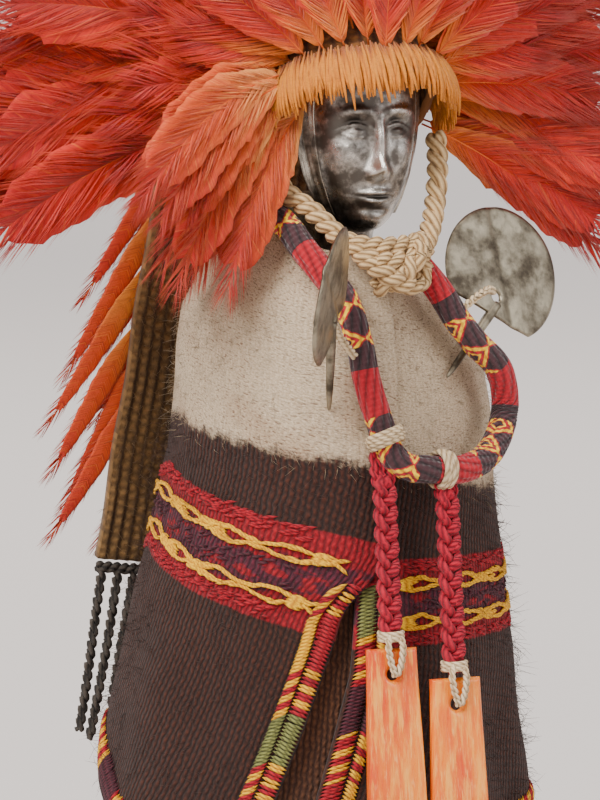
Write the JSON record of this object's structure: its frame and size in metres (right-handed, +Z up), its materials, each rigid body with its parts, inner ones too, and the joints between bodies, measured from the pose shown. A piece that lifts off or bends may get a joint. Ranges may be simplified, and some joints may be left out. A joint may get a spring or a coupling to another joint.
{
  "type": "dressed votive figurine",
  "caption": "Standing silver votive figurine dressed in a pinned woven mantle, with a feather headdress, neck band and hanging shell plates.",
  "frame": {"origin": "centre of the soles' flat face, between the two feet", "axes": "+Z up, the figure faces -Y, its left hand is on +X"},
  "size_m": [0.0802, 0.0491, 0.1455],
  "materials": {
    "figure_silver": "dark patina, worn to a polish on the high places",
    "pin_silver": "hammered sheet with a grey patina",
    "cream_cloth": "undyed hand-spun plain weave",
    "brown_cloth": "dark warp-faced hand weave",
    "figured_cloth": "crimson band with yellow and dark purple figures",
    "edge_embroidery": "cross-knit embroidery in yellow, crimson and olive blocks",
    "dress_cloth": "plain dark hand weave",
    "cap_cloth": "knotted netting under the feathers",
    "yellow_feather": "trimmed feather",
    "red_feather": "scarlet feather, peach at the base",
    "rope_fibre": "two-ply undyed rope",
    "band_yarn": "tubular braid with eye figures",
    "string_fibre": "thin undyed string",
    "braid_yarn": "crimson braided yarn",
    "shell": "polished orange shell with pale streaks",
    "train_cloth": "fuzzy ribbed weave",
    "dark_cord": "twisted dark cord"
  },
  "bodies": {
    "figure": {"silver_feet": "figure_silver", "right_leg": "figure_silver", "left_leg": "figure_silver", "silver_torso": "figure_silver", "right_arm": "figure_silver", "left_arm": "figure_silver", "silver_head": "figure_silver", "cast_hair": "figure_silver", "dress": "dress_cloth", "waist_belt": "figured_cloth", "mantle_shoulders": "cream_cloth", "mantle_upper_cloth": "brown_cloth", "mantle_figured_band": "figured_cloth", "mantle_lower_cloth": "brown_cloth", "right_front_binding": "edge_embroidery", "left_front_binding": "edge_embroidery", "hem_binding": "edge_embroidery", "headdress_cap": "cap_cloth", "brow_fringe": "yellow_feather", "crest_top": "red_feather", "crest_right": "red_feather", "crest_left": "red_feather", "cheek_feathers": "red_feather", "chin_rope_right": "rope_fibre", "chin_rope_left": "rope_fibre", "chin_knot": "rope_fibre", "neck_band": "band_yarn", "right_lashing": "string_fibre", "left_lashing": "string_fibre", "right_pin_string": "string_fibre", "left_pin_string": "string_fibre"},
    "right_dress_pin": {"right_pin": "pin_silver"},
    "left_dress_pin": {"left_pin": "pin_silver"},
    "right_pendant": {"right_braid": "braid_yarn", "right_plate_loop": "string_fibre"},
    "left_pendant": {"left_braid": "braid_yarn", "left_plate_loop": "string_fibre"},
    "right_plate": {"right_shell_plate": "shell"},
    "left_plate": {"left_shell_plate": "shell"},
    "train": {"train_strip": "train_cloth", "train_feathers": "red_feather", "train_heading": "dark_cord"},
    "fringe": {"train_fringe": "dark_cord"}
  },
  "joints": [
    {"name": "right_pin_pull", "type": "slide", "parent": "figure", "child": "right_dress_pin", "axis": [-0.1908, -0.5253, 0.8293], "range_m": [0, 0.0025]},
    {"name": "left_pin_pull", "type": "slide", "parent": "figure", "child": "left_dress_pin", "axis": [0.6754, 0.3875, 0.6274], "range_m": [0, 0.0025]},
    {"name": "right_pendant_swing", "type": "hinge", "parent": "figure", "child": "right_pendant", "pos_m": [-0.0009, -0.0159, 0.0656], "axis": [-1, 0, 0], "range_deg": [0, 50]},
    {"name": "left_pendant_swing", "type": "hinge", "parent": "figure", "child": "left_pendant", "pos_m": [0.0056, -0.0161, 0.0642], "axis": [-1, 0, 0], "range_deg": [0, 50]},
    {"name": "right_plate_turn", "type": "hinge", "parent": "right_pendant", "child": "right_plate", "pos_m": [-0.0009, -0.01797, 0.04742], "axis": [0, -0.9936, 0.1132], "range_deg": [-15, 0]},
    {"name": "left_plate_turn", "type": "hinge", "parent": "left_pendant", "child": "left_plate", "pos_m": [0.0056, -0.01837, 0.04423], "axis": [0, -0.9936, 0.1132], "range_deg": [0, 15]},
    {"name": "train_swing", "type": "hinge", "parent": "figure", "child": "train", "pos_m": [-0.002, 0.0116, 0.098], "axis": [1, 0, 0], "range_deg": [0, 35]},
    {"name": "fringe_swing", "type": "hinge", "parent": "train", "child": "fringe", "pos_m": [-0.00673, 0.01918, 0.05298], "axis": [0.9945, 0, -0.1045], "range_deg": [0, 25]}
  ]
}
